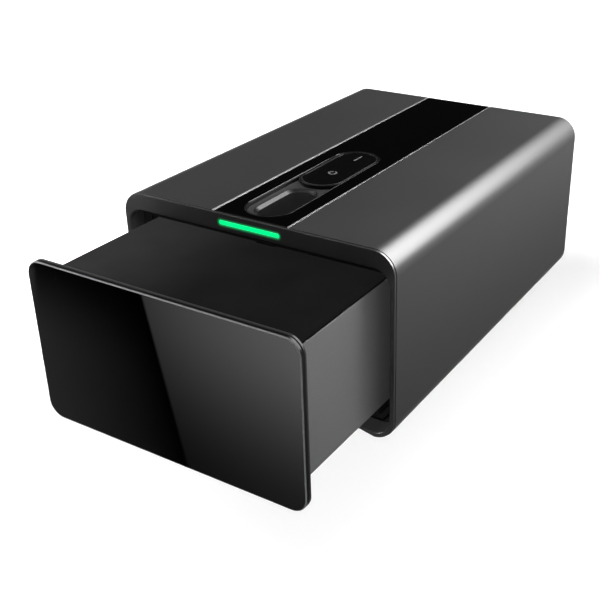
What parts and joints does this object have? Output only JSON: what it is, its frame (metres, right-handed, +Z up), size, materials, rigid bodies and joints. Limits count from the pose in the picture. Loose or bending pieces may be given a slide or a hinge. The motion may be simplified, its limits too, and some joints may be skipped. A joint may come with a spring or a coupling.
{
  "type": "electronic safe",
  "caption": "Steel tube safe with a sliding drawer, a glass control strip with a finger dish and key plate, and a status light.",
  "frame": {"origin": "centre of the base pad's underside, on the surface that the safe stands on", "axes": "+Z up, -Y towards the drawer's front, +X to the right seen from the front"},
  "size_m": [0.23, 0.43, 0.145],
  "materials": {
    "case_paint": "satin",
    "bezel_black": "fine satin",
    "strip_glass": "polished black glass",
    "front_glass": "polished black glass",
    "bright_metal": "polished",
    "piano_black": "gloss",
    "key_black": "gloss",
    "mark_light": "lit from below",
    "light_green": "lit from behind",
    "led_white": "lit",
    "sensor_black": "polished",
    "frame_dark": "satin",
    "frame_black": "matt",
    "tray_grey": "satin",
    "liner_cloth": "felt",
    "rubber_black": "moulded",
    "zinc_steel": "zinc plated",
    "slide_black": "black oxide",
    "screw_steel": "zinc plated",
    "hard_steel": "ground",
    "chrome_rod": "polished",
    "tube_black": "gloss",
    "brass": "plain",
    "board_green": "solder mask",
    "chip_black": "moulded",
    "inner_plastic": "moulded",
    "cell_wrap": "wrapped",
    "lead_red": "flexible",
    "lead_black": "flexible"
  },
  "bodies": {
    "casing": {"outer_shell": "case_paint", "front_bezel": "bezel_black", "stop_frame": "frame_black", "rear_panel": "case_paint", "floor_plate": "zinc_steel", "base_pad": "rubber_black", "glass_strip": "strip_glass", "strip_trim_left": "bright_metal", "strip_trim_right": "bright_metal", "control_tray": "piano_black", "tray_screws": "screw_steel", "sensor_module": "sensor_black", "key_board": "board_green", "tact_switches": "chip_black", "key_pivot_pin": "chrome_rod", "light_guide": "light_green", "status_board": "board_green", "status_leds": "led_white", "main_board": "board_green", "board_parts": "chip_black", "board_standoffs": "brass", "buzzer": "chip_black", "battery_box": "inner_plastic", "batteries": "cell_wrap", "battery_contacts": "brass", "battery_lid": "inner_plastic", "battery_lead": "lead_red", "power_socket": "hard_steel", "socket_board": "board_green", "socket_lead": "lead_black", "ceiling_cover": "inner_plastic", "cover_posts": "zinc_steel", "cover_screws": "screw_steel", "lock_housing": "inner_plastic", "lock_motor": "hard_steel", "lock_screws": "screw_steel", "outer_rail_left": "slide_black", "outer_rail_right": "slide_black", "rail_screws": "screw_steel", "gas_tube": "tube_black", "gas_clips": "inner_plastic", "stop_bumpers": "rubber_black"},
    "drawer": {"glass_panel": "front_glass", "panel_frame": "frame_dark", "drawer_tray": "tray_grey", "drawer_deck": "frame_dark", "strike_plate": "hard_steel", "tray_liner": "liner_cloth", "inner_rail_left": "slide_black", "inner_rail_right": "slide_black", "drawer_screws": "screw_steel", "gas_rod": "chrome_rod", "gas_lug": "zinc_steel"},
    "middle_rails": {"middle_rails": "slide_black"},
    "outer_cages": {"outer_ball_cages": "brass"},
    "inner_cages": {"inner_ball_cages": "brass"},
    "key_plate": {"key_plate": "key_black", "key_marks": "mark_light"},
    "lock_bolt": {"lock_bolt": "hard_steel"},
    "lock_pinion": {"lock_pinion": "brass"}
  },
  "joints": [
    {"name": "drawer_slide", "type": "slide", "parent": "casing", "child": "drawer", "axis": [0, -1, 0], "range_m": [-0.1, 0.15]},
    {"name": "middle_rail_slide", "type": "slide", "parent": "casing", "child": "middle_rails", "axis": [0, -1, 0], "range_m": [-0.05, 0.075]},
    {"name": "outer_cage_slide", "type": "slide", "parent": "casing", "child": "outer_cages", "axis": [0, -1, 0], "range_m": [-0.025, 0.0375]},
    {"name": "inner_cage_slide", "type": "slide", "parent": "casing", "child": "inner_cages", "axis": [0, -1, 0], "range_m": [-0.075, 0.1125]},
    {"name": "key_rock", "type": "hinge", "parent": "casing", "child": "key_plate", "pos_m": [0, -0.046, 0.1407], "axis": [1, 0, 0], "range_deg": [-1.8, 1.8], "stiffness_Nm_per_rad": 0.5},
    {"name": "bolt_slide", "type": "slide", "parent": "casing", "child": "lock_bolt", "axis": [0, 0, -1], "range_m": [0, 0.0054]},
    {"name": "pinion_turn", "type": "hinge", "parent": "casing", "child": "lock_pinion", "pos_m": [0, -0.0366, 0.1264], "axis": [1, 0, 0], "range_deg": [0, 90]}
  ],
  "couplings": [
    {"joint": "middle_rail_slide", "follows": "drawer_slide", "ratio": 0.5},
    {"joint": "outer_cage_slide", "follows": "drawer_slide", "ratio": 0.25},
    {"joint": "inner_cage_slide", "follows": "drawer_slide", "ratio": 0.75},
    {"joint": "pinion_turn", "follows": "bolt_slide", "rad_per_m": 285.71}
  ]
}
